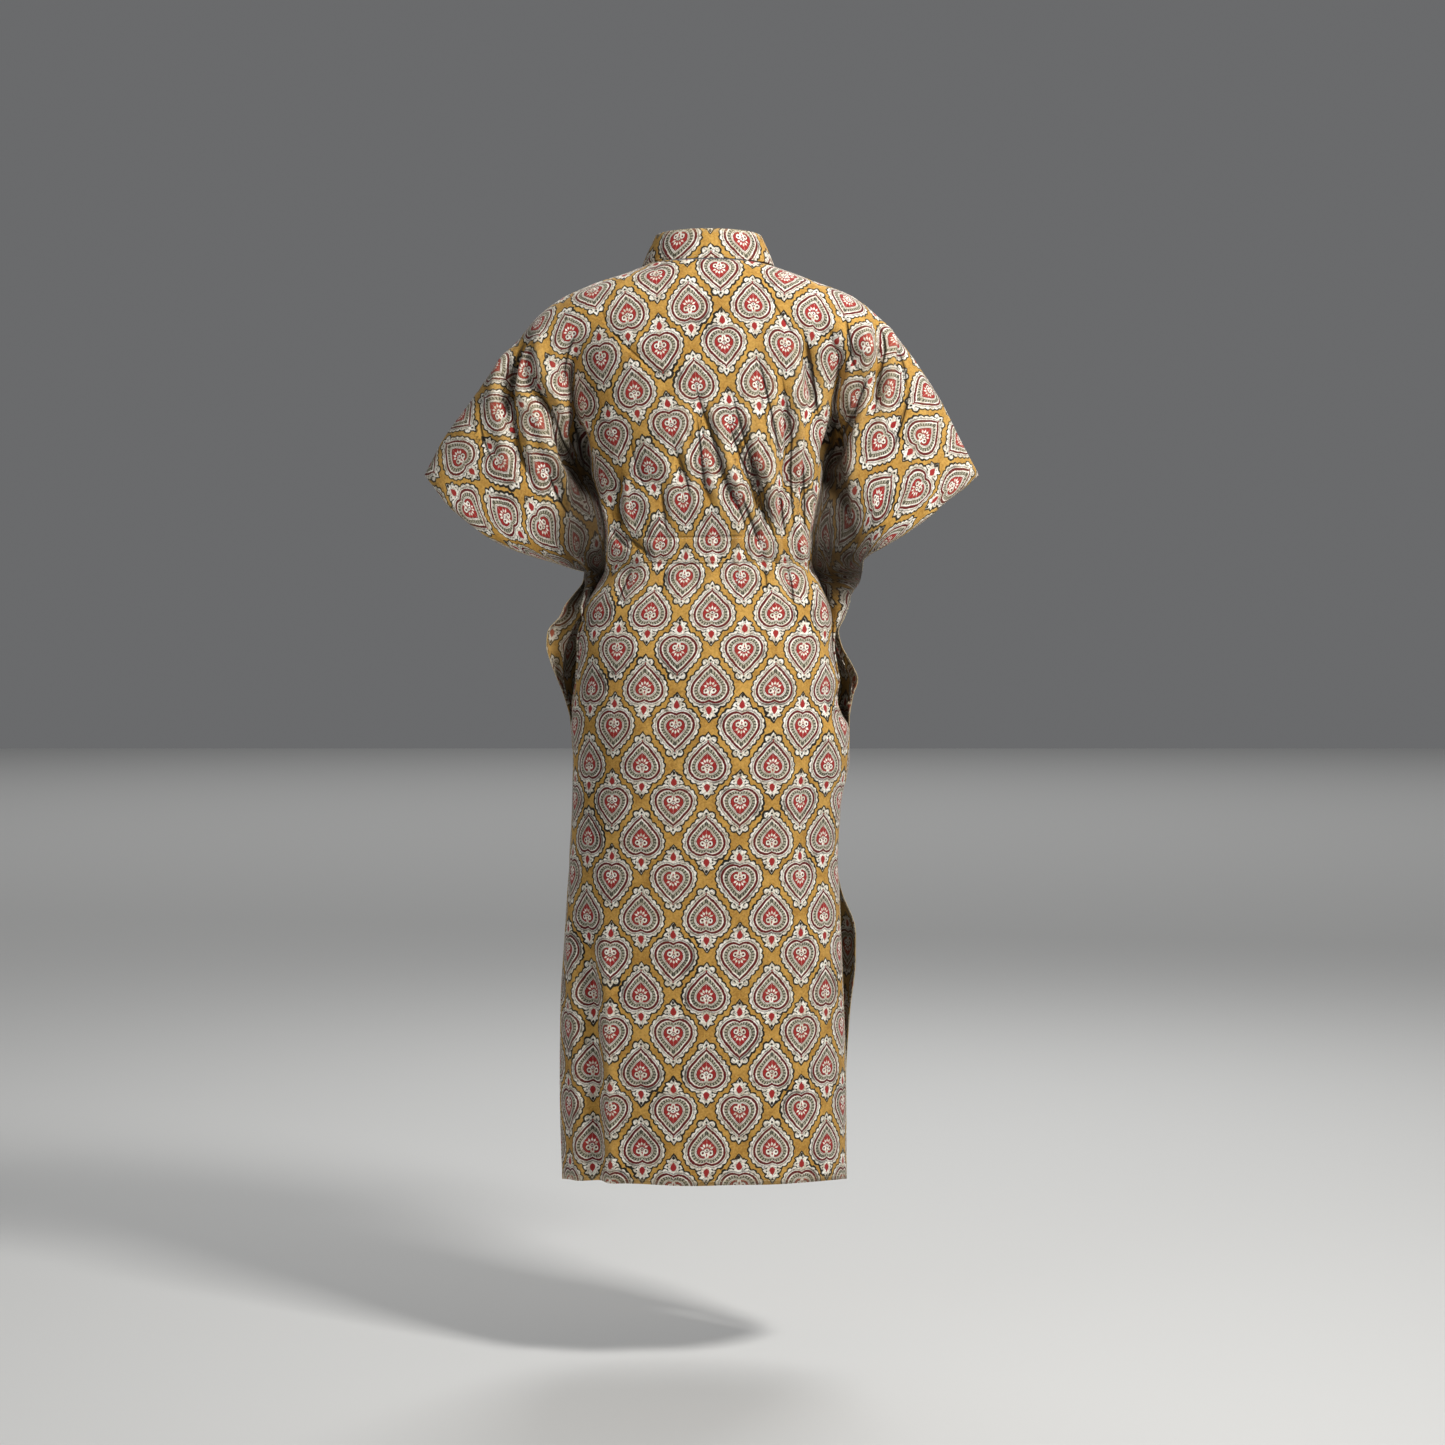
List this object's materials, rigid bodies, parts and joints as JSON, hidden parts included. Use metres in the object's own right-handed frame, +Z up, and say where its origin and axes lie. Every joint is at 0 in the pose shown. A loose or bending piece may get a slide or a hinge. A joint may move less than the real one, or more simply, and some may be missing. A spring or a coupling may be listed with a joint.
{
  "type": "kaftan",
  "caption": "Long block-print cotton kaftan with a band collar, wide sleeves cut in one, a gathered elastic waist and open side slits, in its hollow worn shape.",
  "frame": {"origin": "the middle of the neck, level with the neck points of the two shoulder seams, where a wearer's shoulders hold the kaftan up", "axes": "+Z up, -Y towards the back of the garment, +Y towards its front, +X to the wearer's right"},
  "size_m": [0.7096, 0.2593, 1.2083],
  "materials": {
    "printed_cotton_back": "block-printed plain-weave cotton, matt",
    "printed_cotton_front": "block-printed plain-weave cotton, matt",
    "printed_cotton_collar": "block-printed plain-weave cotton, interfaced and topstitched"
  },
  "bodies": {
    "root": {"back": "printed_cotton_back", "front": "printed_cotton_front", "collar": "printed_cotton_collar"}
  },
  "joints": []
}
